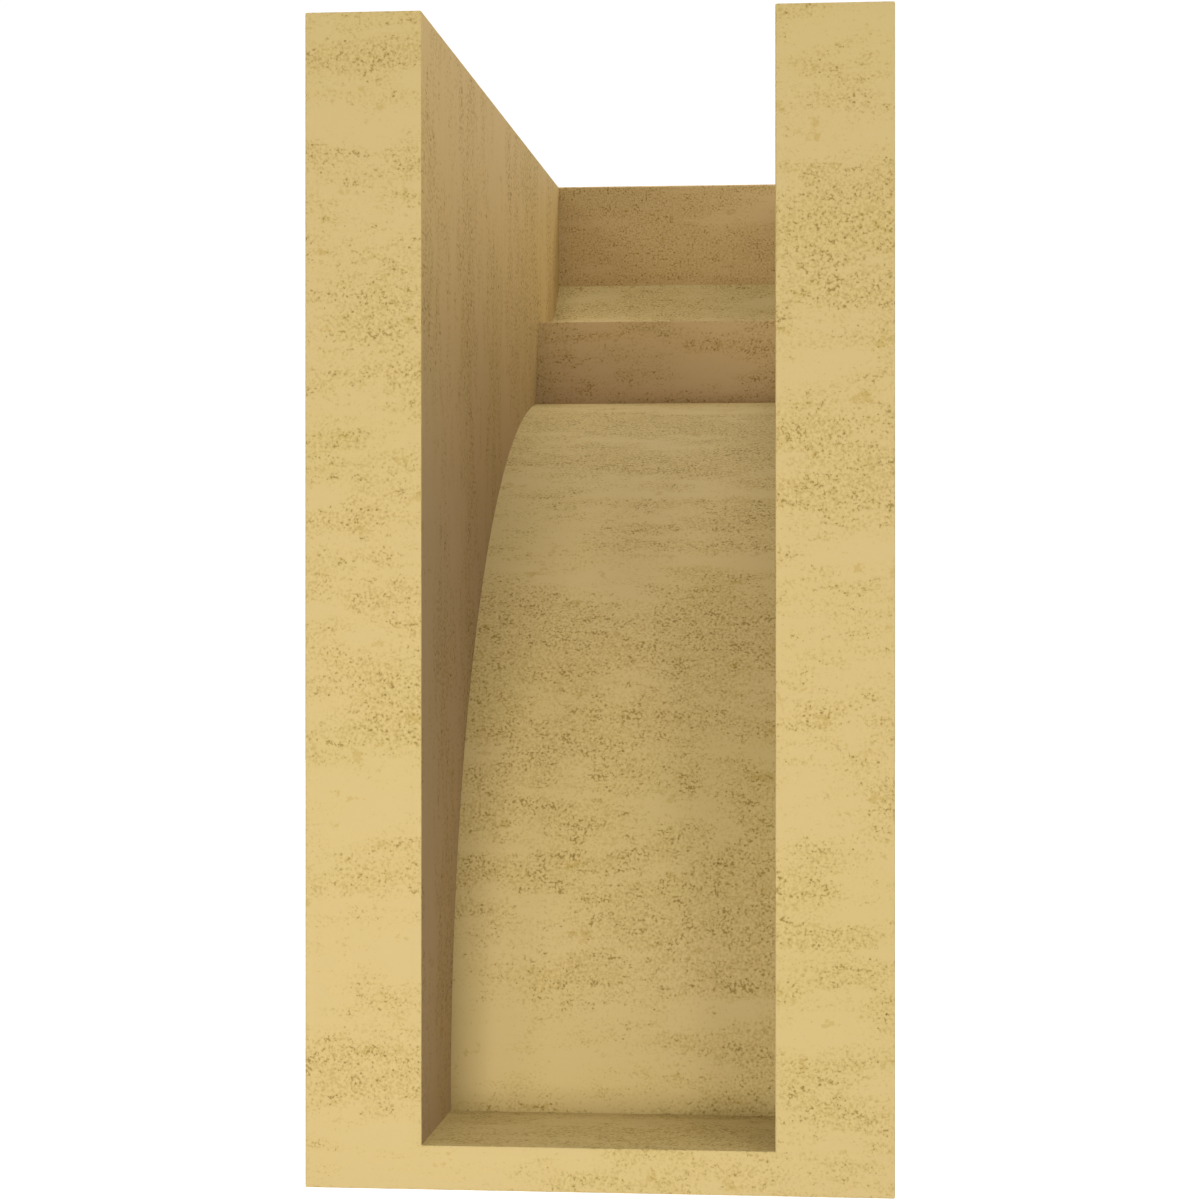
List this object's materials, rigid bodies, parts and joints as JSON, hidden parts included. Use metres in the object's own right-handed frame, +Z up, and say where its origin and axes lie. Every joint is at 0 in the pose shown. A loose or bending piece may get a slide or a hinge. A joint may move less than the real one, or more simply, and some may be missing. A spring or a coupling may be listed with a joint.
{
  "type": "hollow corbel",
  "caption": "Hollow moulded corbel, open at the wall side and the top, with thick side walls and a thin front that sweeps out to a ledge; it carries a shelf or beam.",
  "frame": {"origin": "on the wall plane, in the middle of the bottom shell's back edge", "axes": "+X across the width, +Y out from the wall, +Z up"},
  "size_m": [0.127, 0.254, 0.254],
  "materials": {
    "travertine": "matte"
  },
  "bodies": {
    "root": {"corbel_shell": "travertine"}
  },
  "joints": []
}
